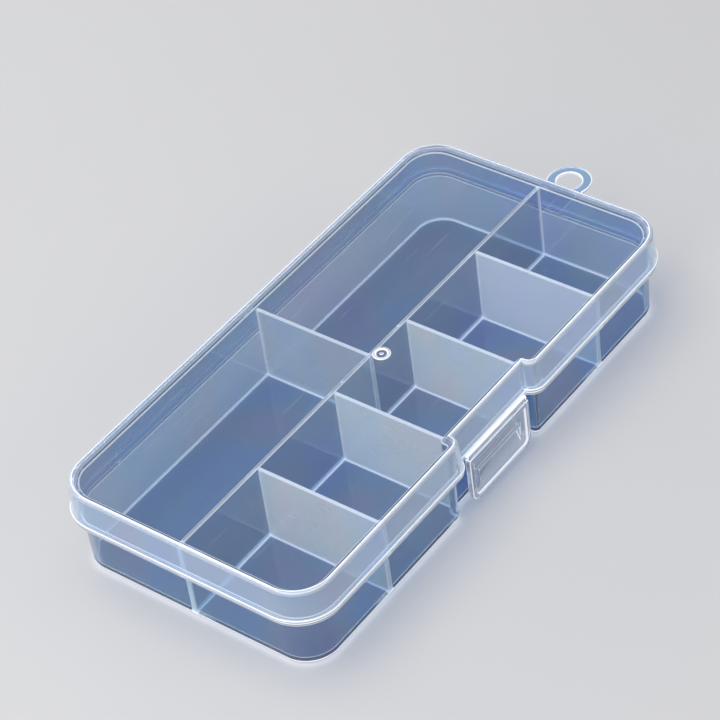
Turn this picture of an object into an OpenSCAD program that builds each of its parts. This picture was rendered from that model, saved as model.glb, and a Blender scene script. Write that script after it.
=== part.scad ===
// Flat clear polypropylene organizer box: one tray with seven compartments, a common lid on a
// living hinge along the back, and a latch flap on a second living hinge at the front.
// Millimetres. +X runs to the hang loop, +Y to the hinge, +Z up. The origin is the centre of the
// tray's underside.

/* [Tray] */
// Length of the tray over its walls, at the rim
tray_l = 147.2; // [120:0.2:200]
// Width of the tray over its walls, at the rim
tray_w = 72; // [60:0.2:100]
// Height of the tray's rim above the surface it stands on
tray_h = 23.3; // [21:0.1:40]
// Radius of the four upright corners, on the outside
corner_r = 8.6; // [6:0.1:14]
// Thickness of the tray's walls
tray_wall = 1.1; // [0.8:0.05:1.6]
// Thickness of the floor
floor_t = 1.2; // [0.8:0.05:2]
// How far each wall face leans in from the rim to the floor
wall_draft = 0.3; // [0.1:0.05:0.5]
// Outside radius between floor and walls
bottom_r = 1.2; // [0.6:0.1:1.6]
// Inside fillet between floor and walls
floor_fillet = 0.8; // [0.4:0.1:1.2]

/* [Flange] */
// Height of the flange's underside, which the lid closes down to
flange_z = 15.2; // [14.6:0.1:16.2]
// Thickness of the flange
flange_t = 1; // [0.8:0.05:1.4]
// How far the flange stands out from the wall
flange_out = 2.1; // [1.8:0.05:2.3]
// Width of the small bevels that break the moulded edges
edge_break = 0.2; // [0.1:0.05:0.3]

/* [Dividers] */
// Thickness of a divider at its top edge
divider_t = 1; // [0.7:0.05:1.4]
// Thickness of a divider at the floor
divider_foot_t = 1.3; // [1:0.05:1.8]
// Spacing of the front cross dividers, centre to centre
cell_pitch = 29.6; // [25:0.1:29.8]
// How far the long divider's top lies below the rim
long_drop = 0.2; // [0.2:0.05:1]
// How far the cross dividers' tops lie below the rim
cross_drop = 0.7; // [0.2:0.05:2]
// Place of the two ejector pips on the long divider, from its middle
pip_x = 11.5; // [6:0.1:13]
// Radius of an ejector pip
pip_r = 0.4; // [0.25:0.05:0.5]
// Height of an ejector pip
pip_h = 0.1; // [0.05:0.05:0.2]

/* [Latch recess] */
// Width of the recess in the front wall, between its side walls
recess_w = 31.6; // [31.2:0.1:34]
// Depth of the recess
recess_d = 2.9; // [2.7:0.05:3.4]
// Outside radius where the front wall turns into the recess
recess_lip_r = 1.8; // [1.3:0.05:2]
// Radius at the bottom corners of the recess
recess_root_r = 0.4; // [0.2:0.05:0.6]

/* [Lid] */
// Running gap between the rim and the inside of the lid
lid_gap = 0.3; // [0.2:0.05:0.5]
// Gap between the rim and the underside of the lid
lid_gap_z = 0.7; // [0.4:0.05:1.2]
// Thickness of the lid's skirt
lid_wall = 1.1; // [0.8:0.05:1.3]
// Thickness of the lid's top
lid_top_t = 1.2; // [0.8:0.05:1.6]
// How far the skirt flares out from top to bottom
lid_flare = 0.7; // [0.4:0.05:0.9]
// Radius of the lid's top edge
lid_edge_r = 1; // [0.6:0.05:1.3]
// How far the bead along the skirt's bottom stands out
bead_out = 0.3; // [0.2:0.05:0.5]
// Height of the bead
bead_h = 0.9; // [0.7:0.05:1.3]
// Gap between the flange and the lid's bead
seam = 0.1; // [0.05:0.01:0.2]

/* [Gate mark] */
// Outside radius of the ring that the moulding gate leaves on the lid
gate_r = 2.3; // [1.6:0.1:3]
// Radius of the dimple in the ring
gate_dimple_r = 1.3; // [0.8:0.1:1.5]
// Height of the ring above the lid
gate_h = 0.4; // [0.2:0.05:0.6]
// Distance of the gate mark in front of the lid's middle
gate_front = 3.6; // [0:0.1:8]

/* [Lid hinge] */
// Length of the living hinge
hinge_l = 107; // [60:0.5:125]
// Thickness of its web
hinge_web_t = 0.35; // [0.25:0.01:0.45]
// How far the web bows out behind the flange
hinge_bow = 0.9; // [0.8:0.05:1.1]

/* [Latch] */
// Width of the latch flap
latch_w = 24.4; // [18:0.1:25]
// Length of the flap, from its hinge down
latch_h = 14; // [12.5:0.1:14.2]
// Thickness of the flap
latch_t = 1.05; // [0.9:0.05:1.2]
// Radius of the flap's lower corners
latch_corner_r = 3; // [1.5:0.1:4]
// Gap between the flap and the flange behind it
latch_gap = 0.25; // [0.2:0.05:0.4]
// Gap between the lid's bead and the flap's top edge
latch_slot = 0.6; // [0.5:0.05:0.8]
// Thickness of the latch's hinge web
latch_web_t = 0.35; // [0.25:0.01:0.45]
// Width of the raised border round the flap
border_w = 1.5; // [1:0.1:2]
// Height of the raised border
border_h = 0.4; // [0.3:0.05:0.6]
// Width of the hook and of the catch
hook_w = 18.4; // [12:0.1:19]
// Height of the hook's ramp
hook_h = 4.6; // [3.2:0.1:5.2]
// Wall of the pressed-in pocket behind the hook
hook_wall = 0.8; // [0.6:0.05:1]
// How far the catch stands out from the tray
catch_out = 1.25; // [1:0.05:1.4]
// Height of the catch
catch_h = 1.8; // [1:0.1:2.4]
// Height of the catch's underside above the tray's underside
catch_z = 10.6; // [9.8:0.1:11.4]
// How far the hook reaches behind the catch
bite = 0.3; // [0.1:0.05:0.4]
// Gap between the hook and the catch's underside
hook_gap = 0.2; // [0.1:0.05:0.4]

/* [Hang loop] */
// Outside radius of the ring
loop_r = 6; // [5.8:0.1:8]
// Radius of the hole
loop_hole_r = 3.4; // [2.5:0.1:4.4]
// Distance from the flange's edge to the middle of the hole
loop_reach = 10.7; // [8.5:0.1:16]
// Thickness of the ring and its neck
loop_t = 1; // [0.8:0.05:1.2]
// Width of the neck
neck_w = 11.2; // [8:0.1:11.6]
// Radius where the neck runs into the flange
neck_r = 1; // [0.5:0.1:2]

/* [Hidden] */
$fn = 64;
clear_plastic = [0.80, 0.88, 0.96, 0.55];
frosted_plastic = [0.86, 0.89, 0.94, 0.75];

hx = tray_l / 2;                          // half length and half width of the wall outline
hy = tray_w / 2;
fillet_steps = 4;                         // straight steps in a quarter of a profile's fillet
flange_top = flange_z + flange_t;
reach_in = tray_wall + wall_draft + floor_fillet + 0.05;   // inner end of the wall profile
mid_wall = (tray_wall + wall_draft) / 2;                   // a line that stays inside the wall
long_top = tray_h - long_drop;
cross_top = tray_h - cross_drop;
recess_y = hy - recess_d;                 // distance of the recess wall from the middle
side_x = recess_w / 2;

bead_z = flange_top + seam;
bead_top = bead_z + bead_h;
lid_under = tray_h + lid_gap_z;
lid_top = lid_under + lid_top_t;
lid_in = lid_gap;                         // skirt's inner face at the top
lid_out = lid_gap + lid_wall;             // skirt's outer face at the top
bead_u = lid_out + lid_flare + bead_out;  // outermost reach of the bead
lid_fillet = 0.4;                         // inside fillet under the lid's top
lid_reach = lid_fillet - lid_in + 0.5;

latch_in_y = -(recess_y + flange_out + latch_gap);   // inner face of the flap
latch_out_y = latch_in_y - latch_t;
latch_top = bead_z - latch_slot;
latch_low = latch_top - latch_h;
hook_top = catch_z - hook_gap;
hook_tip_y = -(recess_y + catch_out - bite);
hook_land = 0.6;                          // height of the hook's blunt tip

// ---- outlines -----------------------------------------------------------------------------

// Where the tray's outer wall face stands at height z, out from the outline
function wall_u(z) = -wall_draft * (tray_h - z) / tray_h;

// A quarter arc about c, from angle a to angle a + 90
function quarter(c, r, a) =
    [for (i = [0 : fillet_steps]) c + r * [cos(a + 90 * i / fillet_steps), sin(a + 90 * i / fillet_steps)]];
function reversed(list) = [for (i = [len(list) - 1 : -1 : 0]) list[i]];

// Plain rectangle with exact round corners
module round_rect(a, b, r) {
    square([2 * (a - r), 2 * b], center = true);
    square([2 * a, 2 * (b - r)], center = true);
    for (sx = [-1, 1], sy = [-1, 1]) translate([sx * (a - r), sy * (b - r)]) circle(r);
}

// The box's outline in plan, u outside the tray's wall outline (inside it where u is negative)
module outline(u) {
    root = max(recess_root_r - u, 0);
    lip = max(recess_lip_r + u, 0);
    side = side_x - u;
    back = recess_y + u;
    difference() {
        round_rect(hx + u, hy + u, corner_r + u);
        translate([-side + root, -2 * hy]) square([2 * (side - root), 2 * hy - back]);
        translate([-side, -2 * hy]) square([2 * side, 2 * hy - back - root]);
        if (root > 0)
            for (s = [-1, 1]) translate([s * (side - root), -back - root]) circle(root);
        if (lip > 0)
            for (s = [-1, 1])
                difference() {
                    translate([s * (side + lip / 2 - 0.01), -hy - u + lip / 2 - 0.01])
                        square([lip + 0.02, lip + 0.02], center = true);
                    translate([s * (side + lip), -hy - u + lip]) circle(lip);
                }
    }
}

// ---- a wall profile carried round the outline ---------------------------------------------

// The profile is drawn with x out from the outline and y up. Children are that profile.
module wall_run(at, turn, length) {
    translate(at) rotate([0, 0, turn]) rotate([90, 0, 90])
        linear_extrude(length, center = true) children();
}
module outer_bend(centre, r, turn) {
    translate(centre) rotate([0, 0, turn]) rotate_extrude(angle = 90)
        intersection() {
            translate([r, 0]) children();
            square([2 * hx, 2 * lid_top]);
        }
}
module inner_bend(centre, r, turn) {
    translate(centre) rotate([0, 0, turn]) rotate_extrude(angle = 90)
        intersection() {
            translate([r, 0]) mirror([1, 0]) children();
            square([2 * hx, 2 * lid_top]);
        }
}
module carried_round() {
    wall_run([0, hy, 0], 0, 2 * (hx - corner_r)) children();
    for (s = [-1, 1]) wall_run([s * hx, 0, 0], -90 * s, 2 * (hy - corner_r)) children();
    for (s = [-1, 1]) {
        outer_bend([s * (hx - corner_r), hy - corner_r, 0], corner_r, s > 0 ? 0 : 90) children();
        outer_bend([s * (hx - corner_r), corner_r - hy, 0], corner_r, s > 0 ? 270 : 180) children();
    }
    lip_x = side_x + recess_lip_r;
    front_run = hx - corner_r - lip_x;
    side_run = recess_d - recess_lip_r - recess_root_r;
    wall_run([0, -recess_y, 0], 180, 2 * (side_x - recess_root_r)) children();
    for (s = [-1, 1]) {
        wall_run([s * (lip_x + front_run / 2), -hy, 0], 180, front_run) children();
        outer_bend([s * lip_x, recess_lip_r - hy, 0], recess_lip_r, s > 0 ? 180 : 270) children();
        wall_run([s * side_x, -recess_y - recess_root_r - side_run / 2, 0], 90 * s, side_run)
            children();
        inner_bend([s * (side_x - recess_root_r), -recess_y - recess_root_r, 0], recess_root_r,
                   s > 0 ? 0 : 90) children();
    }
}

// ---- tray ---------------------------------------------------------------------------------

// Inner side of the wall's section, from the floor up: the fillet, then the drafted face
inner_foot = wall_u(0) - tray_wall;
inner_side = concat(
    [[-reach_in, floor_t]],
    quarter([inner_foot - floor_fillet, floor_t + floor_fillet], floor_fillet, -90),
    [[-tray_wall, tray_h - edge_break]]);
// Where the drafted inner face stands at height z
function inner_u(z) =
    -tray_wall - wall_draft * (tray_h - edge_break - z) / (tray_h - edge_break - floor_t - floor_fillet);

module tray_profile() {
    foot = wall_u(bottom_r);
    e = edge_break;
    polygon(concat(
        [[-reach_in, 0]],
        quarter([foot - bottom_r, bottom_r], bottom_r, -90),
        [[wall_u(flange_z), flange_z], [flange_out - e, flange_z], [flange_out, flange_z + e],
         [flange_out, flange_top - e], [flange_out - e, flange_top], [wall_u(flange_top), flange_top],
         [wall_u(tray_h - e), tray_h - e], [-e, tray_h], [e - tray_wall, tray_h]],
        reversed(inner_side)));
}
module tray_body() {
    carried_round() tray_profile();
    linear_extrude(floor_t) outline(-reach_in);
}
module tray_shell() {
    color(clear_plastic) tray_body();
}

// Half a divider's thickness at height z
function half_t(z) =
    divider_t / 2 + (divider_foot_t - divider_t) / 2 * (tray_h - z) / (tray_h - floor_t);

// A wall of the dividers' drafted section, standing on the floor along the X axis
module divider_slab(length, top) {
    rotate([90, 0, 90]) linear_extrude(length, center = true)
        polygon([[-half_t(floor_t), floor_t], [half_t(floor_t), floor_t], [half_t(top), top],
                 [-half_t(top), top]]);
}
// The wall's inner side up to a divider's top, at a wall that stands reach from the middle
function fitted_side(reach, top) =
    [for (p = concat([for (q = inner_side) if (q[1] < floor_t + floor_fillet + 0.001) q],
                     [[inner_u(top), top]])) [reach + p[0], p[1]]];
module long_divider() {
    side = fitted_side(hx, long_top);
    color(clear_plastic) {
        intersection() {
            divider_slab(tray_l, long_top);
            rotate([90, 0, 0]) linear_extrude(tray_w, center = true)
                polygon(concat(side, reversed([for (p = side) [-p[0], p[1]]])));
        }
        for (s = [-1, 1])
            translate([s * pip_x, 0, long_top - pip_h]) cylinder(h = 2 * pip_h, r = pip_r);
    }
}
// Runs from the long divider to the wall that stands reach from the middle
module cross_divider(x, reach) {
    color(frosted_plastic) translate([x, 0, 0]) intersection() {
        rotate([0, 0, 90]) divider_slab(tray_w, cross_top);
        rotate([90, 0, 90]) linear_extrude(2 * divider_foot_t, center = true)
            polygon(concat([[half_t(cross_top), cross_top], [half_t(floor_t), floor_t]],
                           fitted_side(reach, cross_top)));
    }
}
module rear_cross_divider() {
    cross_divider(0, hy);
}
// The two in the middle end at the latch recess
module front_cross_divider(i) {
    in_recess = abs(i - 2.5) < 1;
    mirror([0, 1, 0]) cross_divider((i - 2.5) * cell_pitch, in_recess ? recess_y : hy);
}

// Ring on a neck that widens where it meets the flange
module hang_loop() {
    edge = hx + flange_out;
    half = neck_w / 2;
    color(clear_plastic) translate([edge, 0, flange_z + (flange_t - loop_t) / 2])
        linear_extrude(loop_t) difference() {
            union() {
                translate([loop_reach, 0]) circle(loop_r);
                translate([0, -half]) square([loop_reach, neck_w]);
                translate([0, -half - neck_r]) square([neck_r, neck_w + 2 * neck_r]);
            }
            for (s = [-1, 1]) translate([neck_r, s * (half + neck_r)]) circle(neck_r);
            translate([loop_reach, 0]) circle(loop_hole_r);
        }
}

// Wedge on the recess wall that the hook closes under
module latch_catch() {
    low = [-(recess_y + wall_u(catch_z)), catch_z];
    high = [-(recess_y + wall_u(catch_z + catch_h)), catch_z + catch_h];
    tip = -(recess_y + catch_out);
    color(clear_plastic) rotate([90, 0, 90]) linear_extrude(hook_w, center = true)
        polygon([low, high, [tip, catch_z + catch_h / 2], [tip, catch_z]]);
}

// ---- lid ----------------------------------------------------------------------------------

module lid_profile() {
    e = edge_break;
    skirt_out = lid_out + lid_flare;
    skirt_in = skirt_out - lid_wall;
    polygon(concat(
        [[-lid_reach, lid_under]],
        reversed(quarter([lid_in - lid_fillet, lid_under - lid_fillet], lid_fillet, 0)),
        [[skirt_in, bead_z], [bead_u - e, bead_z], [bead_u, bead_z + e], [bead_u, bead_top - e],
         [skirt_out, bead_top]],
        quarter([lid_out - lid_edge_r, lid_top - lid_edge_r], lid_edge_r, 0),
        [[-lid_reach, lid_top]]));
}
module lid_shell() {
    color(clear_plastic) {
        carried_round() lid_profile();
        translate([0, 0, lid_under]) linear_extrude(lid_top_t) outline(-lid_reach);
    }
}
module gate_ring() {
    color(clear_plastic) translate([0, -gate_front, lid_top]) rotate_extrude()
        polygon([[gate_dimple_r, 0], [gate_r, 0], [gate_r - gate_h / 2, gate_h],
                 [gate_dimple_r + gate_h / 2, gate_h]]);
}

// Bowed strip that joins the flange's edge to the bead's edge along the back
module lid_hinge_web() {
    low = [hy + flange_out, flange_z + edge_break];
    high = [hy + bead_u, bead_top - edge_break];
    bow = hy + flange_out + hinge_bow;
    t = hinge_web_t;
    color(clear_plastic) rotate([90, 0, 90]) linear_extrude(hinge_l, center = true)
        polygon([low, [bow - t, low[1]], [bow, low[1] + t], [bow, high[1] - t], [bow - t, high[1]],
                 high, [high[0], high[1] - t], [bow - 1.5 * t, high[1] - t], [bow - t, high[1] - 1.5 * t],
                 [bow - t, low[1] + 1.5 * t], [bow - 1.5 * t, low[1] + t], [low[0], low[1] + t]]);
}

// ---- latch --------------------------------------------------------------------------------

// Outline of the flap seen from the front, x along the box and y up, inset by d
module flap_outline(d) {
    half = latch_w / 2 - d;
    r = latch_corner_r - d;
    translate([-half, latch_low + d + r]) square([2 * half, latch_top - latch_low - r - 2 * d]);
    translate([r - half, latch_low + d]) square([2 * (half - r), latch_h - 2 * d]);
    for (s = [-1, 1]) translate([s * (half - r), latch_low + d + r]) circle(r);
}
// Stands a front outline up between two distances from the middle plane
module upright(from_y, to_y) {
    translate([0, from_y, 0]) rotate([90, 0, 0]) linear_extrude(from_y - to_y) children();
}
// The pressed-in wedge of the hook, as a side profile of y and z
hook_profile = [[latch_in_y, hook_top - hook_h], [hook_tip_y, hook_top - hook_land],
                [hook_tip_y, hook_top], [latch_in_y, hook_top]];
module pocket() {
    rotate([90, 0, 90]) linear_extrude(hook_w - 2 * hook_wall, center = true)
        polygon([[latch_out_y - 1, hook_top - hook_h - hook_wall],
                 [latch_out_y, hook_top - hook_h - hook_wall / 2],
                 [hook_tip_y - hook_wall, hook_top - hook_land - hook_wall],
                 [hook_tip_y - hook_wall, hook_top - hook_wall],
                 [latch_out_y - 1, hook_top - hook_wall]]);
}
module latch_flap() {
    color(clear_plastic) difference() {
        upright(latch_in_y, latch_out_y) flap_outline(0);
        pocket();
    }
}
module latch_border() {
    color(clear_plastic) upright(latch_out_y, latch_out_y - border_h) difference() {
        flap_outline(0);
        flap_outline(border_w);
    }
}
module latch_hook() {
    color(clear_plastic) difference() {
        rotate([90, 0, 90]) linear_extrude(hook_w, center = true) polygon(hook_profile);
        pocket();
    }
}
// Thin strip from the bead's face down to the top of the flap
module latch_hinge_web() {
    t = latch_web_t;
    face = -(recess_y + bead_u);
    out = latch_in_y - latch_t / 2 - t / 2;
    high = bead_z + edge_break + t;
    color(clear_plastic) rotate([90, 0, 90])
        linear_extrude(latch_w, center = true)
            polygon([[face, high], [out, high], [out - t / 2, high - t / 2], [out - t / 2, latch_top],
                     [out + t / 2, latch_top], [out + t / 2, high - t], [face, high - t]]);
}

tray_shell();
long_divider();
rear_cross_divider();
front_cross_divider(1);  // front_cross_divider_1
front_cross_divider(2);  // front_cross_divider_2
front_cross_divider(3);  // front_cross_divider_3
front_cross_divider(4);  // front_cross_divider_4
hang_loop();
latch_catch();
lid_shell();
gate_ring();
lid_hinge_web();
latch_flap();
latch_border();
latch_hook();
latch_hinge_web();
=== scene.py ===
import math

import bmesh
import bpy
import numpy as np
from mathutils import Matrix, Vector


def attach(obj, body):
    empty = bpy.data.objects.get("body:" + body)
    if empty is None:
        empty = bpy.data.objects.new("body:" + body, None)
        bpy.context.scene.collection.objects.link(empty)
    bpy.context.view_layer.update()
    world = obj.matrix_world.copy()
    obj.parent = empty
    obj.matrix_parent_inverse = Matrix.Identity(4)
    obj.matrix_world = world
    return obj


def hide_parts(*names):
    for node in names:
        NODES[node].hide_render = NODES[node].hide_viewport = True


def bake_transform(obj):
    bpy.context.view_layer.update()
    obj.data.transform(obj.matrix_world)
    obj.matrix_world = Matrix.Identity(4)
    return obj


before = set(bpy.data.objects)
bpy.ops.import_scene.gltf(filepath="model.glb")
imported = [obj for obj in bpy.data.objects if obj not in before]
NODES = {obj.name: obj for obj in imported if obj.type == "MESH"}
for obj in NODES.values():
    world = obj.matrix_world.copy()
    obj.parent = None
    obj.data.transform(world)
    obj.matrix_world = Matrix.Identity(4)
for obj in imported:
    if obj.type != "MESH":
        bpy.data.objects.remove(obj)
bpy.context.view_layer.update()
MM = 0.001

# ---- sizes of the moulding, in millimetres, as the solids have them ------------------------
# u is a distance outside the tray's wall, as seen from above, and z a height over the underside

HALF_L, HALF_W, RIM_Z = 73.6, 36.0, 23.3        # the wall's outside at the rim
CORNER_R, LIP_R, ROOT_R = 8.6, 1.8, 0.4         # outer corners, and the recess's mouth and root
RECESS_X, RECESS_Y = 15.8, 33.1                 # half the recess's width, and its back
WALL, DRAFT, FLOOR_T = 1.1, 0.3, 1.2
BOTTOM_R, FLOOR_FILLET = 1.2, 0.8
FLANGE_OUT, FLANGE_Z, FLANGE_TOP = 2.1, 15.2, 16.2

LID_IN, LID_OUT, LID_UNDER, LID_TOP = 0.3, 1.4, 24.0, 25.2
LID_FILLET, LID_EDGE_R = 0.4, 1.0
SKIRT_OUT, BEAD_U, BEAD_Z, BEAD_TOP = 2.1, 2.4, 16.3, 17.2
GATE_FRONT = 3.6

LOOP_X, LOOP_R, HOLE_R, NECK, NECK_R = 86.4, 6.0, 3.4, 5.6, 1.0
DIVIDER_T, DIVIDER_FOOT, LONG_TOP, CROSS_TOP = 1.0, 1.3, 23.1, 22.6
CELL_PITCH, PIP_X, PIP_R, PIP_H = 29.6, 11.5, 0.4, 0.1
HINGE_HALF, LATCH_HALF, WEB_T, HINGE_BOW = 53.5, 12.2, 0.35, 0.9
LATCH_T, LATCH_GAP = 1.05, 0.25

# Sizes of the finish, which the solids don't have
FLANGE_EDGE_R, RIM_EDGE_R, BEAD_EDGE_R, LOOP_EDGE_R = 0.25, 0.3, 0.25, 0.28
WALL_TURN_R = 0.2       # where the upper wall rises from the flange
SKIRT_FOOT_R, BEAD_TURN_R = 0.15, 0.1           # inside the skirt's foot, and above the bead
CATCH_SOFT, LATCH_SOFT = 0.12, 0.22             # width of the rounds on catch and latch
INNER_REACH = 3.0       # the flat plates start this far inside the wall
SMALLEST_R = 0.08       # an arc that would vanish keeps this radius
SUNK = 0.5              # how far a divider's foot and ends reach into the floor and the walls
END_STRIP = 0.35        # length of the stretch with the painted highlight at a divider's end
MELT = 0.4              # how deep a small piece stands in the one that it is melted into
AXIS_R = 0.001          # a turned profile starts this close to its axis

# Which of its piece's materials a face has; BRIGHT, SOFT and FOOT_LINE carry painted highlights
BODY, BRIGHT, BROAD, SOFT, FOOT_LINE = range(5)
DIVIDER_TOP = 2


# ---- outlines and sections -----------------------------------------------------------------


def arc(centre, r, start, end, points):
    """Points centre + r (cos a, sin a), with a going evenly from start to end in degrees."""
    a = np.radians(np.linspace(start, end, points))
    return np.stack([centre[0] + r * np.cos(a), centre[1] + r * np.sin(a)], 1)


LIP_POINTS, CORNER_POINTS, ROOT_POINTS = 13, 29, 7


def plan_outline(u):
    """The box seen from above: a round-cornered rectangle with the latch recess cut into its
    front, u millimetres outside the tray's wall. Each arc keeps its centre and its radius grows
    or shrinks by u; one that would vanish keeps a small radius. Runs anticlockwise."""
    r = CORNER_R + u
    cx, cy = HALF_L - CORNER_R, HALF_W - CORNER_R
    lip = max(LIP_R + u, SMALLEST_R)
    root = min(max(ROOT_R - u, SMALLEST_R), HALF_W - RECESS_Y - lip)
    side, back, front = RECESS_X - u, -(RECESS_Y + u), -(HALF_W + u)
    return np.concatenate([
        arc((side + lip, front + lip), lip, 180, 270, LIP_POINTS),
        arc((cx, -cy), r, -90, 0, CORNER_POINTS),
        arc((cx, cy), r, 0, 90, CORNER_POINTS),
        arc((-cx, cy), r, 90, 180, CORNER_POINTS),
        arc((-cx, -cy), r, 180, 270, CORNER_POINTS),
        arc((-side - lip, front + lip), lip, 270, 360, LIP_POINTS),
        arc((-side + root, back - root), root, 180, 90, ROOT_POINTS),
        arc((side - root, back - root), root, 90, 0, ROOT_POINTS),
    ])


def loop_outline():
    """Half-way round from inside the flange: a small corner there, the neck's fillet, its
    straight side and the ring. Then the same mirrored. Runs anticlockwise."""
    inside, wider, corner = 1.2, 0.5, 0.4
    edge, low = HALF_L + FLANGE_OUT, NECK + NECK_R
    meet = math.degrees(math.asin(NECK / LOOP_R)) - 180
    half = np.concatenate([
        [(edge - inside, 0), (edge - inside, -low - wider - corner)],
        arc((edge - corner, -low - wider), corner, 270, 360, 4),
        arc((edge + NECK_R, -low), NECK_R, 180, 90, 7),
        arc((LOOP_X, 0), LOOP_R, meet, 0, 33),
    ])
    return np.concatenate([half, (half * (1, -1))[::-1][1:-1]])


def rounded_section(corners):
    """A chain of corners (u, z, radius, arc, flat) with each corner turned into an arc of its
    radius, tangent to both its sides. Flat is the material's index on the flat that follows, and
    arc the index on the arc, or one index for each of its six stretches. Returns the points and,
    for each, the index of what follows it."""
    points = 7
    pts, index = [], []
    c = np.array([k[:2] for k in corners], float)
    for i, (u, z, r, arc_index, flat_index) in enumerate(corners):
        if r <= 0 or i in (0, len(corners) - 1):
            pts.append([(u, z)])
            index.append([flat_index])
            continue
        before, after = c[i - 1] - c[i], c[i + 1] - c[i]
        before, after = before / np.linalg.norm(before), after / np.linalg.norm(after)
        half = math.acos(float(np.clip(before @ after, -1, 1))) / 2
        middle = (before + after) / np.linalg.norm(before + after)
        centre = c[i] + middle * r / math.sin(half)
        t0, t1 = c[i] + before * r / math.tan(half), c[i] + after * r / math.tan(half)
        a0 = math.atan2(*(t0 - centre)[::-1])
        turn = (math.atan2(*(t1 - centre)[::-1]) - a0 + math.pi) % (2 * math.pi) - math.pi
        a = a0 + turn * np.linspace(0, 1, points)
        pts.append(centre + r * np.stack([np.cos(a), np.sin(a)], 1))
        index.append([*np.broadcast_to(arc_index, points - 1), flat_index])
    pts = np.concatenate([np.asarray(p, float).reshape(-1, 2) for p in pts])
    return pts, np.concatenate(index).astype(int)


# ---- finishing a mesh ----------------------------------------------------------------------


def applied(obj):
    """Applies the object's modifiers to its mesh."""
    bpy.context.view_layer.update()
    depsgraph = bpy.context.evaluated_depsgraph_get()
    mesh = bpy.data.meshes.new_from_object(obj.evaluated_get(depsgraph))
    mesh.name = obj.name
    obj.modifiers.clear()
    obj.data = mesh
    return obj


def shade(obj, angle=32):
    """Smooth below angle degrees. At each point the normal leans to its largest face, so that
    flats stay flat up to the rounds between them."""
    old = obj.data.attributes.get("custom_normal")
    if old:
        obj.data.attributes.remove(old)
    obj.data.shade_smooth()
    obj.data.set_sharp_from_angle(angle=math.radians(angle))
    even = obj.modifiers.new("even", "WEIGHTED_NORMAL")
    even.keep_sharp = True
    return applied(obj)


def outward(obj):
    """Turns every face of a closed mesh outwards."""
    bm = bmesh.new()
    bm.from_mesh(obj.data)
    bmesh.ops.recalc_face_normals(bm, faces=bm.faces)
    bm.to_mesh(obj.data)
    bm.free()
    return obj


def joined(base, *others, way="UNION"):
    """Melts the other closed pieces into base, as one moulding has no faces inside. Way
    DIFFERENCE cuts them out of it instead. All faces are turned outwards first."""
    outward(base)
    for other in others:
        melt = base.modifiers.new("melt", "BOOLEAN")
        melt.operation = way
        melt.solver = "EXACT"
        melt.object = outward(other)
        applied(base)
        bpy.data.objects.remove(other)
    return shade(base)


def softened(obj, width, segments=2):
    """Rounds the edges sharper than 35 degrees, with the painted highlight on the rounds."""
    bevel = obj.modifiers.new("soft", "BEVEL")
    bevel.width = width * MM
    bevel.segments = segments
    bevel.limit_method = "ANGLE"
    bevel.angle_limit = math.radians(35)
    bevel.material = BRIGHT
    return shade(applied(obj), 40)


def solid_copy(name, node, materials):
    """A copy of a solid's mesh with its doubles merged and flat triangles joined."""
    obj = bpy.data.objects.new(name, NODES[node].data.copy())
    bpy.context.scene.collection.objects.link(obj)
    obj.data.materials.clear()
    for m in materials:
        obj.data.materials.append(m)
    bm = bmesh.new()
    bm.from_mesh(obj.data)
    bmesh.ops.remove_doubles(bm, verts=bm.verts, dist=2e-6)
    bmesh.ops.dissolve_limit(bm, angle_limit=math.radians(1), verts=bm.verts, edges=bm.edges)
    bm.to_mesh(obj.data)
    bm.free()
    looks = np.full(len(obj.data.polygons), BODY, np.int32)
    obj.data.polygons.foreach_set("material_index", looks)
    return shade(obj)


# ---- surfaces from rings of points ---------------------------------------------------------


def level(points, z):
    """The (x, y) points at height z."""
    return np.column_stack([points, np.full(len(points), z)])


def ring_quads(rings, count):
    """Quads between rings of count points: points j and j + 1 of a ring with the same two of
    the next one. The point after the last one is the first."""
    ring = np.arange(rings - 1)[:, None] * count
    here = np.arange(count)[None, :]
    after = (here + 1) % count
    above = ring + count
    return np.stack([ring + here, ring + after, above + after, above + here], -1).reshape(-1, 4)


def mesh_object(name, verts_mm, faces, materials, face_material):
    """An object at the origin with its place in its mesh."""
    mesh = bpy.data.meshes.new(name)
    mesh.from_pydata((np.asarray(verts_mm) * MM).tolist(), [], faces)
    for m in materials:
        mesh.materials.append(m)
    mesh.polygons.foreach_set("material_index", np.asarray(face_material, np.int32))
    obj = bpy.data.objects.new(name, mesh)
    bpy.context.scene.collection.objects.link(obj)
    return shade(obj)


def swept(name, rings, materials, looks, end_look):
    """Rings of points, each joined to the next one by quads, with a flat face over the first and
    the last. Looks gives the material's index of every quad, and end_look that of both ends."""
    count = len(rings[0])
    last = (len(rings) - 1) * count
    faces = ring_quads(len(rings), count).tolist()
    faces += [list(range(count))[::-1], list(range(last, last + count))]
    return mesh_object(name, np.concatenate(rings), faces, materials,
                       [*np.ravel(looks), end_look, end_look])


def shell(name, corners, materials):
    """The section's points carried round the plan outline: point (u, z) gives the outline at
    offset u and height z. The two ends of the section are closed by broad flat plates."""
    section, index = rounded_section(corners)
    rings = [level(plan_outline(u), z) for u, z in section]
    return swept(name, rings, materials, np.repeat(index[:-1], len(rings[0])), BROAD)


def bar(name, section, index, stops, materials):
    """A closed section of (y, z) points carried straight along x through the stops. Index is the
    material's on the face that follows each point. The first and the last stretch and the ends
    are bright: they carry the painted highlight."""
    rings = [np.column_stack([np.full(len(section), x), section]) for x in stops]
    looks = np.tile(index, (len(stops) - 1, 1))
    looks[[0, -1]] = BRIGHT
    return swept(name, rings, materials, looks, BRIGHT)


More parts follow.
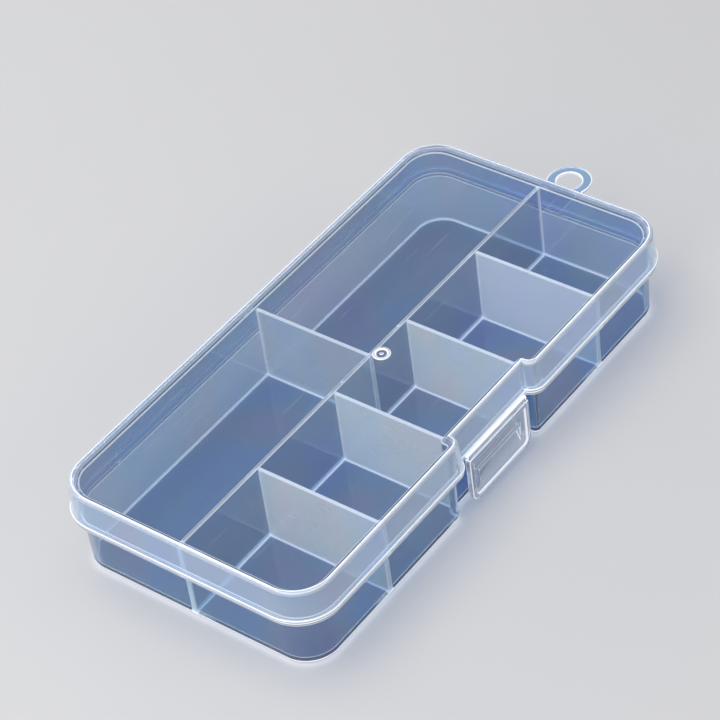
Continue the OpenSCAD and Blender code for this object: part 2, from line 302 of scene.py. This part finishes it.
def plate(name, outline, z_low, z_high, r, materials):
    """A flat plate of an outline. Its edges are quarter circles of radius r: offset r cos a - r
    from the outline, height r sin a from the arc's centre. Its upright face between them and
    its two flat faces have the body's material, and the rounds carry the painted highlight."""
    points = 4
    step = np.roll(outline, -1, 0) - np.roll(outline, 1, 0)
    out = np.stack([step[:, 1], -step[:, 0]], 1) / np.linalg.norm(step, axis=1)[:, None]
    a = np.radians(np.linspace(0, 90, points))
    off, rise = r * np.cos(a) - r, r * np.sin(a)
    rings = [level(outline + out * o, z_low + r - h) for o, h in zip(off[::-1], rise[::-1])]
    rings += [level(outline + out * o, z_high - r + h) for o, h in zip(off, rise)]
    looks = np.full((len(rings) - 1, len(outline)), BRIGHT)
    looks[points - 1] = BODY
    return swept(name, rings, materials, looks, BODY)


def lathe(name, profile, centre, materials, steps=64):
    """A closed profile of (radius, z, material index) points turned round an upright axis
    through centre: (r cos a, r sin a, z). The index is that of the face after the point."""
    p = np.asarray(profile, float)
    a = np.linspace(0, 2 * np.pi, steps, endpoint=False)
    rings = np.stack([np.outer(p[:, 0], np.cos(a)) + centre[0],
                      np.outer(p[:, 0], np.sin(a)) + centre[1],
                      np.repeat(p[:, 1:2] + centre[2], steps, 1)], -1)
    faces = ring_quads(len(p) + 1, steps) % (len(p) * steps)
    return mesh_object(name, rings.reshape(-1, 3), faces.tolist(), materials,
                       np.repeat(p[:, 2], steps))


# ---- materials -----------------------------------------------------------------------------


def colour(hex_text):
    """Linear RGBA of an sRGB hex colour."""
    c = np.array([int(hex_text[i:i + 2], 16) for i in (0, 2, 4)]) / 255
    lin = np.where(c <= 0.04045, c / 12.92, ((c + 0.055) / 1.055) ** 2.4)
    return (*lin.tolist(), 1.0)


def feed(tree, socket, value):
    """Links an output to the socket, or sets the socket to a plain value."""
    if isinstance(value, bpy.types.NodeSocket):
        tree.links.new(value, socket)
    else:
        socket.default_value = value


def add(tree, kind, **inputs):
    """A node with its inputs fed by name, in which _ stands for a space."""
    node = tree.nodes.new(kind)
    for name, value in inputs.items():
        feed(tree, node.inputs[name.replace("_", " ")], value)
    return node


def worked(tree, operation, *values):
    """The outcome of a Math node."""
    node = tree.nodes.new("ShaderNodeMath")
    node.operation = operation
    for socket, value in zip(node.inputs, values):
        feed(tree, socket, value)
    return node.outputs["Value"]


def mixed(tree, low, high, factor):
    """A colour between low and high."""
    node = tree.nodes.new("ShaderNodeMix")
    node.data_type = "RGBA"
    for name, value in (("A", low), ("B", high), ("Factor", factor)):
        feed(tree, node.inputs[name], value)
    return node.outputs["Result"]


def new_group(name, inputs, outputs):
    """A node group of number inputs (name, low, high, value) and outputs (name, kind). Returns
    it with its two end nodes."""
    group = bpy.data.node_groups.new(name, "ShaderNodeTree")
    for label, low, high, value in inputs:
        s = group.interface.new_socket(label, in_out="INPUT", socket_type="NodeSocketFloat")
        s.min_value, s.max_value, s.default_value = low, high, value
    for label, kind in outputs:
        group.interface.new_socket(label, in_out="OUTPUT", socket_type=kind)
    return group, group.nodes.new("NodeGroupInput"), group.nodes.new("NodeGroupOutput")


def moulded_group():
    """Surface of a thin clear moulding. Haze is a slow cloud of stretched noise, Scuffs are short
    hair-like scratches, and Height is the cloud with a faint orange peel on it."""
    g, given, out = new_group(
        "moulded_surface",
        (("Flow Scale", 0, 500, 30), ("Scuff Scale", 0, 2000, 900)),
        [(label, "NodeSocketFloat") for label in ("Haze", "Scuffs", "Height")])
    place = g.nodes.new("ShaderNodeTexCoord").outputs["Object"]
    drawn = add(g, "ShaderNodeMapping", Vector=place, Scale=(0.45, 1.0, 1.6))
    flow = add(g, "ShaderNodeTexNoise", Vector=drawn.outputs["Vector"],
               Scale=given.outputs["Flow Scale"], Detail=4.0, Roughness=0.55)
    haze = add(g, "ShaderNodeMapRange", Value=flow.outputs["Fac"], From_Min=0.3, From_Max=0.7)
    thin = add(g, "ShaderNodeMapping", Vector=place, Rotation=(0.1, 0.3, 0.6),
               Scale=(0.05, 1.0, 0.8))
    hair = add(g, "ShaderNodeTexNoise", Vector=thin.outputs["Vector"],
               Scale=given.outputs["Scuff Scale"], Detail=2.0, Roughness=0.5)
    scuff = add(g, "ShaderNodeMapRange", Value=hair.outputs["Fac"], From_Min=0.68, From_Max=0.8)
    peel = add(g, "ShaderNodeTexNoise", Vector=place, Scale=900.0, Detail=2.0)
    height = worked(g, "MULTIPLY_ADD", peel.outputs["Fac"], 0.03, flow.outputs["Fac"])
    feed(g, out.inputs["Haze"], haze.outputs["Result"])
    feed(g, out.inputs["Scuffs"], scuff.outputs["Result"])
    feed(g, out.inputs["Height"], height)
    return g


def stress_group():
    """Rainbow colours that a moulding under stress shows: warped noise through a colour ramp."""
    g, given, out = new_group("stress_colours", [("Band Scale", 0, 200, 38)],
                              [("Colours", "NodeSocketColor")])
    place = g.nodes.new("ShaderNodeTexCoord").outputs["Object"]
    drawn = add(g, "ShaderNodeMapping", Vector=place, Scale=(1.0, 1.0, 0.45))
    bands = add(g, "ShaderNodeTexNoise", Vector=drawn.outputs["Vector"],
                Scale=given.outputs["Band Scale"], Detail=0.0, Distortion=1.2)
    ramp = add(g, "ShaderNodeValToRGB", Fac=bands.outputs["Fac"])
    ramp.color_ramp.interpolation = "B_SPLINE"
    stops = ramp.color_ramp.elements
    stops[0].position, stops[0].color = 0.2, colour("e58fb6")
    stops[1].position, stops[1].color = 0.8, colour("8da6ec")
    for at, shown in ((0.36, "f0cf86"), (0.5, "8fdcae"), (0.64, "86d2e4")):
        stops.new(at).color = colour(shown)
    feed(g, out.inputs["Colours"], ramp.outputs["Color"])
    return g


MOULDED = moulded_group()
STRESS = stress_group()


def placed(tree, group, **inputs):
    """A group's node, with its inputs fed by name."""
    node = tree.nodes.new("ShaderNodeGroup")
    node.node_tree = group
    for name, value in inputs.items():
        feed(tree, node.inputs[name.replace("_", " ")], value)
    return node


def clear_plastic(name, tint, hazy, passed, through, rough, ripple, flow=30.0, scuff=900.0,
                  rainbow=0.0, glow=0.0, scratch_glint=0.0):
    """Clear or milky polypropylene. Its colour goes from tint to hazy with the haze, and rainbow
    is the share of the stress colours in it. Through is how much light it transmits. Its
    roughness goes from the first to the second of rough with the haze and the scratches. The
    scratches also give off light of their own by scratch_glint, a painted glint, and glow is
    painted light that the whole surface gives off evenly in the hazy colour. Ripple is the
    height of its surface in millimetres. Lamp rays go straight through in the colour passed,
    so that what is inside stays lit."""
    m = bpy.data.materials.new(name)
    m.use_nodes = True
    t = m.node_tree
    t.nodes.clear()
    surface = placed(t, MOULDED, Flow_Scale=flow, Scuff_Scale=scuff)
    haze, scuffs_and_glints = surface.outputs["Haze"], surface.outputs["Scuffs"]
    shown = mixed(t, colour(tint), colour(hazy), haze)
    if rainbow:
        shown = mixed(t, shown, placed(t, STRESS).outputs["Colours"], rainbow)
    worn = worked(t, "MAXIMUM", haze, scuffs_and_glints if scuff else haze)
    dull = add(t, "ShaderNodeMapRange", Value=worn, To_Min=rough[0], To_Max=rough[1])
    bump = add(t, "ShaderNodeBump", Height=surface.outputs["Height"], Strength=0.25,
               Distance=ripple * MM)
    plastic = add(t, "ShaderNodeBsdfPrincipled", Base_Color=shown,
                  Roughness=dull.outputs["Result"], Normal=bump.outputs["Normal"],
                  Transmission_Weight=through, IOR=1.49,
                  Emission_Color=scuffs_and_glints if scratch_glint else colour(hazy),
                  Emission_Strength=glow or scratch_glint)
    lamps = add(t, "ShaderNodeBsdfTransparent", Color=colour(passed))
    path = t.nodes.new("ShaderNodeLightPath")
    either = add(t, "ShaderNodeMixShader", Fac=path.outputs["Is Shadow Ray"])
    feed(t, either.inputs[1], plastic.outputs["BSDF"])
    feed(t, either.inputs[2], lamps.outputs["BSDF"])
    add(t, "ShaderNodeOutputMaterial", Surface=either.outputs["Shader"])
    return m


# The pane's scratches give off a faint painted glint
PANE = clear_plastic("clear_lid_pane", "dfe9f8", "e8f0fb", "f5f7fb", through=0.96,
                     rough=(0.02, 0.05), ripple=0.02, scratch_glint=0.06)
CLEAR = clear_plastic("clear_polypropylene", "c8dbf5", "d6e5f8", "ecf1f8", through=0.86,
                      rough=(0.02, 0.1), ripple=0.02, rainbow=0.16)
# The skirt's glow is painted light that lifts it as the lamps would
SKIRT = clear_plastic("clear_lid_skirt", "d5e4f9", "e4eefb", "eef2f8", through=0.79,
                      rough=(0.03, 0.1), ripple=0.015, rainbow=0.08, glow=0.05)
WALLS = clear_plastic("clear_tray_walls", "adc8ef", "bed4f2", "e4ebf5", through=0.88,
                      rough=(0.02, 0.1), ripple=0.02, rainbow=0.16)
DEEP = clear_plastic("clear_tray_floor", "8db0e2", "9dbde7", "dce6f2", through=0.9,
                     rough=(0.03, 0.12), ripple=0.02, rainbow=0.22)
# Paler, hazier plastic: on rims and rounds (SOFT) a softer painted highlight; also webs' body
RIM = clear_plastic("hazy_plastic_soft_highlight", "e3ecf9", "edf3fb", "eff3f8", through=0.6,
                    rough=(0.05, 0.1), ripple=0.01, scuff=0.0)
FLAP = clear_plastic("hazy_latch", "dde5f1", "e9eef6", "eaeff6", through=0.76,
                     rough=(0.04, 0.12), ripple=0.015, scuff=0.0)
# Painted highlight: near-white, mostly opaque plastic that glows, where the edges catch light
EDGE = clear_plastic("edge_painted_highlight", "fafbfd", "ffffff", "f4f6fa", through=0.25,
                     rough=(0.1, 0.16), ripple=0.01, scuff=0.0, glow=0.26)
# Painted highlight along the tray's bottom round, glowing more than the edges
FOOT = clear_plastic("foot_painted_highlight", "fafbfd", "ffffff", "f4f6fa", through=0.3,
                     rough=(0.1, 0.16), ripple=0.01, scuff=0.0, glow=0.34)
# Frosted dividers; the glow in both is painted light that lifts them evenly
MILKY = clear_plastic("milky_polypropylene", "f0f5fc", "fbfdff", "eaeff6", through=0.25,
                      rough=(0.24, 0.36), ripple=0.03, flow=34.0, scuff=0.0, rainbow=0.19,
                      glow=0.09)
REAR_MILKY = clear_plastic("milky_rear_divider", "dbe7f9", "e9f1fc", "e6edf7", through=0.5,
                           rough=(0.2, 0.32), ripple=0.03, flow=34.0, scuff=0.0, rainbow=0.19,
                           glow=0.05)
# Painted highlight on the cross dividers' tops, rounds and ends: near-white plastic that glows
MILKY_EDGE = clear_plastic("milky_edge_painted_highlight", "fafbfd", "ffffff", "eaeff6", through=0.2,
                           rough=(0.2, 0.35), ripple=0.02, scuff=0.0, glow=0.2)


# ---- tray ----------------------------------------------------------------------------------


def wall_u(z):
    """Where the drafted outer wall face stands at height z."""
    return -DRAFT * (RIM_Z - z) / RIM_Z


# Its rounds and rims carry painted highlights: BRIGHT strong, SOFT softer, FOOT_LINE a glow
tray = shell("tray_moulding", [
    (-INNER_REACH, 0, 0, 0, BROAD),
    (wall_u(0), 0, BOTTOM_R, [BROAD] * 2 + [FOOT_LINE] * 4, BODY),
    (wall_u(FLANGE_Z), FLANGE_Z, FLANGE_EDGE_R, BRIGHT, BODY),
    (FLANGE_OUT, FLANGE_Z, FLANGE_EDGE_R, BRIGHT, SOFT),
    (FLANGE_OUT, FLANGE_TOP, FLANGE_EDGE_R, BRIGHT, BODY),
    (wall_u(FLANGE_TOP), FLANGE_TOP, WALL_TURN_R, BRIGHT, BODY),
    (0, RIM_Z, RIM_EDGE_R, SOFT, BODY),
    (-WALL, RIM_Z, RIM_EDGE_R, BRIGHT, BODY),
    (-WALL - DRAFT, FLOOR_T, FLOOR_FILLET, [BODY] * 2 + [SOFT] * 2 + [BROAD] * 2, BROAD),
    (-INNER_REACH, FLOOR_T, 0, 0, BODY),
], [WALLS, EDGE, DEEP, RIM, FOOT])

loop_t, past = FLANGE_TOP - FLANGE_Z, 0.3
hole_edge = HOLE_R + LOOP_EDGE_R
# The hole's rounded edges carry the painted highlight
bore_profile = [
    (AXIS_R, -past),
    (hole_edge, -past),
    *arc((hole_edge, LOOP_EDGE_R), LOOP_EDGE_R, 270, 180, 4),
    *arc((hole_edge, loop_t - LOOP_EDGE_R), LOOP_EDGE_R, 180, 90, 4),
    (hole_edge, loop_t + past),
    (AXIS_R, loop_t + past),
]
loop = plate("loop_plate", loop_outline(), FLANGE_Z, FLANGE_TOP, LOOP_EDGE_R, [WALLS, EDGE])
bore = lathe("loop_bore", [(*k, BRIGHT) for k in bore_profile], (LOOP_X, 0, FLANGE_Z),
             [WALLS, EDGE])
joined(loop, bore, way="DIFFERENCE")
catch = softened(solid_copy("catch_copy", "latch_catch", [WALLS, EDGE]), CATCH_SOFT)
joined(tray, loop, catch)
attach(tray, "tray")
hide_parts("tray_shell", "hang_loop", "latch_catch")

# ---- dividers ------------------------------------------------------------------------------

WALL_MIDDLE = WALL + DRAFT / 2              # the drafted inner wall face, half-way up
LONG_FACE = DIVIDER_FOOT / 2 - 0.1          # the long divider's face, above its foot


def divider_section(top):
    """Upright wedge, its foot wider than its tip: a small fillet at the floor and a rounded top,
    both with the painted highlight, and the foot sunk in the floor."""
    foot, tip, sunk = DIVIDER_FOOT / 2, DIVIDER_T / 2, FLOOR_T - SUNK
    fillet, fillet_r, tip_r = 0.3, 0.2, 0.3
    pts, index = rounded_section([
        (0, sunk, 0, 0, BRIGHT),
        (foot + fillet, sunk, 0, 0, BRIGHT),
        (foot + fillet, FLOOR_T, 0, 0, BRIGHT),
        (foot, FLOOR_T + fillet, fillet_r, BRIGHT, BODY),
        (tip, top, tip_r, BRIGHT, DIVIDER_TOP),
        (-tip, top, tip_r, BRIGHT, BODY),
        (-foot, FLOOR_T + fillet, fillet_r, BRIGHT, BRIGHT),
        (-foot - fillet, FLOOR_T, 0, 0, BRIGHT),
        (-foot - fillet, sunk, 0, 0, BRIGHT),
        (0, sunk, 0, 0, BODY),
    ])
    return pts[:-1], index[:-1]


def divider(name, low, high, top, materials):
    """A divider along x from low to high, whose ends are sunk in what they meet."""
    stops = (low - SUNK, low + END_STRIP, high - END_STRIP, high + SUNK)
    return bar(name, *divider_section(top), stops, materials)


long_divider = divider("long_divider_bar", WALL_MIDDLE - HALF_L, HALF_L - WALL_MIDDLE, LONG_TOP,
                       [CLEAR, EDGE, RIM])
# The pips' rounded tops carry the painted highlight
PIP_PROFILE = [(AXIS_R, -MELT, BODY), (PIP_R, -MELT, BODY), (PIP_R, PIP_H / 2, BRIGHT),
               (PIP_R - PIP_H, PIP_H, BRIGHT), (AXIS_R, PIP_H, BRIGHT)]
pips = [lathe(f"pip_{k}", PIP_PROFILE, (x, 0, LONG_TOP), [CLEAR, EDGE], 20)
        for k, x in enumerate((-PIP_X, PIP_X))]
joined(long_divider, *pips)
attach(long_divider, "tray")
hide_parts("long_divider")

# For each cross divider: its place along the box, the way it runs from the long divider, the
# wall that it ends in, and its material
CROSS = {"rear_cross_divider": (0, 1, HALF_W, REAR_MILKY)}
for i in range(1, 5):
    reach = RECESS_Y if i in (2, 3) else HALF_W
    CROSS[f"front_cross_divider_{i}"] = ((i - 2.5) * CELL_PITCH, -1, reach, MILKY)
for node, (x, way, reach, plastic) in CROSS.items():
    cross = divider(f"{node}_bar", LONG_FACE, reach - WALL_MIDDLE, CROSS_TOP,
                    [plastic, MILKY_EDGE, MILKY_EDGE])
    turn = Matrix(((0, 1, 0, x * MM), (way, 0, 0, 0), (0, 0, 1, 0), (0, 0, 0, 1)))
    cross.data.transform(turn)
    shade(outward(cross))
    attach(cross, "tray")
    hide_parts(node)

# ---- lid -----------------------------------------------------------------------------------

LID_LOOKS = [SKIRT, EDGE, PANE, RIM]
# Its rounds, rims and bead carry painted highlights: BRIGHT the strong one, SOFT the softer
lid = shell("lid_moulding", [
    (-INNER_REACH, LID_UNDER, 0, 0, BROAD),
    (LID_IN, LID_UNDER, LID_FILLET, (BROAD, SOFT, BRIGHT, BRIGHT, SOFT, BODY), BODY),
    (SKIRT_OUT - WALL, BEAD_Z, SKIRT_FOOT_R, BRIGHT, BODY),
    (BEAD_U, BEAD_Z, BEAD_EDGE_R, BRIGHT, SOFT),
    (BEAD_U, BEAD_TOP, BEAD_EDGE_R, BRIGHT, BODY),
    (SKIRT_OUT, BEAD_TOP, BEAD_TURN_R, BODY, BODY),
    (LID_OUT, LID_TOP, LID_EDGE_R, [SOFT] * 5 + [BRIGHT], BROAD),
    (-INNER_REACH, LID_TOP, 0, 0, BODY),
], LID_LOOKS)

# The gate's ring and the stub that was cut off inside it, as (radius, height) over the lid
# Their BRIGHT and SOFT faces carry painted highlights
GATE_PROFILE = [(1.2, -MELT, BODY), (2.3, -MELT, BODY), (2.3, 0.12, BRIGHT), (2.2, 0.3, BRIGHT),
                (2.0, 0.4, SOFT), (1.75, 0.4, BRIGHT), (1.5, 0.3, BRIGHT), (1.35, 0.12, BODY),
                (1.2, 0.02, BODY)]
STUB_PROFILE = [(AXIS_R, -MELT, BODY), (0.5, -MELT, BODY), (0.5, 0.04, BRIGHT),
                (0.34, 0.16, SOFT), (0.12, 0.24, SOFT), (AXIS_R, 0.24, SOFT)]
gate = lathe("gate_mark", GATE_PROFILE, (0, -GATE_FRONT, LID_TOP), LID_LOOKS)
stub = lathe("gate_stub", STUB_PROFILE, (0.1, 0.1 - GATE_FRONT, LID_TOP), LID_LOOKS, 24)
joined(lid, gate, stub)
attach(lid, "lid")
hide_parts("lid_shell", "gate_ring")

# ---- latch ---------------------------------------------------------------------------------

latch = solid_copy("latch_moulding", "latch_flap", [FLAP, EDGE])
border = solid_copy("border_copy", "latch_border", [FLAP, EDGE])
hook = solid_copy("hook_copy", "latch_hook", [FLAP, EDGE])
joined(latch, border, hook)
softened(latch, LATCH_SOFT, 3)
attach(latch, "latch")
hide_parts("latch_flap", "latch_border", "latch_hook")

# ---- hinge webs ----------------------------------------------------------------------------


def web(name, corners, radius, half_length, bend):
    """A hinge's thin strip, straight along x. Its path through the corners has rounded bends,
    whose material has the index bend, and its two faces lie half the web's thickness to each
    side of it."""
    last = len(corners) - 1
    chain = [(*p, radius * (0 < i < last), bend, BODY) for i, p in enumerate(corners)]
    p, index = rounded_section(chain)
    step = np.gradient(p, axis=0)
    n = np.stack([-step[:, 1], step[:, 0]], 1)
    n /= np.linalg.norm(n, axis=1)[:, None]
    ring = np.concatenate([p + n * WEB_T / 2, (p - n * WEB_T / 2)[::-1]])
    end = 0.4
    stops = (-half_length, end - half_length, half_length - end, half_length)
    return shade(outward(bar(name, ring, np.append(index, index[::-1]), stops, [RIM, EDGE])))


web_low, web_high = (FLANGE_Z + FLANGE_TOP) / 2 - 0.1, 16.82
bow = HALF_W + FLANGE_OUT + HINGE_BOW - WEB_T / 2
lid_web = web("lid_hinge_strip",
              [(HALF_W + FLANGE_OUT, web_low), (bow, web_low), (bow, web_high),
               (HALF_W + BEAD_U, web_high)],
              radius=0.38, half_length=HINGE_HALF, bend=BODY)
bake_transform(lid_web)
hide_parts("lid_hinge_web")

web_top, web_foot = 16.68, 15.7
face = -(RECESS_Y + BEAD_U)
flap_middle = -(RECESS_Y + FLANGE_OUT + LATCH_GAP + LATCH_T / 2) - WEB_T / 2
# The latch web's bend carries the painted highlight, like the ends of both webs
latch_web = web("latch_hinge_strip",
                [(face, web_top), (flap_middle, web_top), (flap_middle, web_foot)],
                radius=0.3, half_length=LATCH_HALF, bend=BRIGHT)
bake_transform(latch_web)
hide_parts("latch_hinge_web")

# ---- floor, light and camera ---------------------------------------------------------------


def floor_material():
    """Pale satin board with a very faint cloud in its tone."""
    m = bpy.data.materials.new("pale_floor")
    m.use_nodes = True
    t = m.node_tree
    place = t.nodes.new("ShaderNodeTexCoord").outputs["Object"]
    cloud = add(t, "ShaderNodeTexNoise", Vector=place, Scale=6.0, Detail=3.0)
    board = t.nodes["Principled BSDF"].inputs
    tone = mixed(t, colour("cdcdcf"), colour("d2d2d3"), cloud.outputs["Fac"])
    feed(t, board["Base Color"], tone)
    board["Roughness"].default_value = 0.3
    board["Specular IOR Level"].default_value = 0.4
    return m


FLOOR_HALF = 3.0
FLOOR_Z = -0.0001       # just under the tray, so that the two share no plane
CORNERS = ((-1, -1), (1, -1), (1, 1), (-1, 1))
floor_mesh = bpy.data.meshes.new("floor")
floor_mesh.from_pydata([(x * FLOOR_HALF, y * FLOOR_HALF, FLOOR_Z) for x, y in CORNERS], [],
                       [(0, 1, 2, 3)])
floor_mesh.materials.append(floor_material())
floor = bpy.data.objects.new("floor", floor_mesh)
bpy.context.scene.collection.objects.link(floor)


def soft_lamp(name, at, towards, width, depth, watts, tint="ffffff", mirrored=False):
    """A rectangular lamp at a point, facing another. The plastic mirrors it or not."""
    lamp = bpy.data.lights.new(name, "AREA")
    lamp.shape = "RECTANGLE"
    lamp.size, lamp.size_y = width, depth
    lamp.energy = watts
    lamp.color = colour(tint)[:3]
    obj = bpy.data.objects.new(name, lamp)
    bpy.context.scene.collection.objects.link(obj)
    obj.location = at
    back = Vector(at) - Vector(towards)
    obj.rotation_euler = back.to_track_quat("Z", "Y").to_euler()
    obj.visible_glossy = obj.visible_transmission = mirrored


MIDDLE = (0, 0, 0.01)
soft_lamp("overhead", (-0.15, 0.25, 0.9), (0, 0, 0), 0.9, 0.7, 5.8)
soft_lamp("left_strip", (-0.8, -0.1, 0.45), MIDDLE, 0.25, 0.9, 3.7, "fbfcff")
soft_lamp("front_fill", (0.3, -0.9, 0.5), MIDDLE, 0.8, 0.3, 1.8)
soft_lamp("rear_strip", (0.45, 0.8, 0.3), MIDDLE, 0.9, 0.18, 2.2, "fbfcff")
soft_lamp("left_glint", (-0.4, 0.25, 0.9), MIDDLE, 0.5, 0.12, 0.6, mirrored=True)
soft_lamp("right_glint", (0.5, -0.1, 0.9), MIDDLE, 0.12, 0.5, 0.5, mirrored=True)

world = bpy.data.worlds.new("studio")
world.use_nodes = True
sky = world.node_tree.nodes["Background"]
sky.inputs["Color"].default_value = colour("e4e5e8")
sky.inputs["Strength"].default_value = 0.28
bpy.context.scene.world = world

camera = bpy.data.objects.new("camera", bpy.data.cameras.new("camera"))
bpy.context.scene.collection.objects.link(camera)
camera.data.sensor_width = 36.0
camera.data.lens = 138.905
camera.data.clip_start, camera.data.clip_end = 0.01, 20
EYE = (-0.37304, -0.33259, 0.46686)
RIGHT = (0.58983574, -0.80006093, -0.10952767)
DOWN = (-0.58659864, -0.33129218, -0.73901795)
AHEAD = (0.55497372, 0.50014798, -0.66472262)
camera.matrix_world = Matrix([
    *([right, -down, -ahead, eye] for right, down, ahead, eye in zip(RIGHT, DOWN, AHEAD, EYE)),
    [0, 0, 0, 1],
])
scene = bpy.context.scene
scene.camera = camera
scene.view_settings.view_transform = "Standard"
scene.cycles.max_bounces = 24
scene.cycles.transmission_bounces = 24
scene.cycles.transparent_max_bounces = 32
scene.cycles.caustics_refractive = False
scene.cycles.caustics_reflective = False
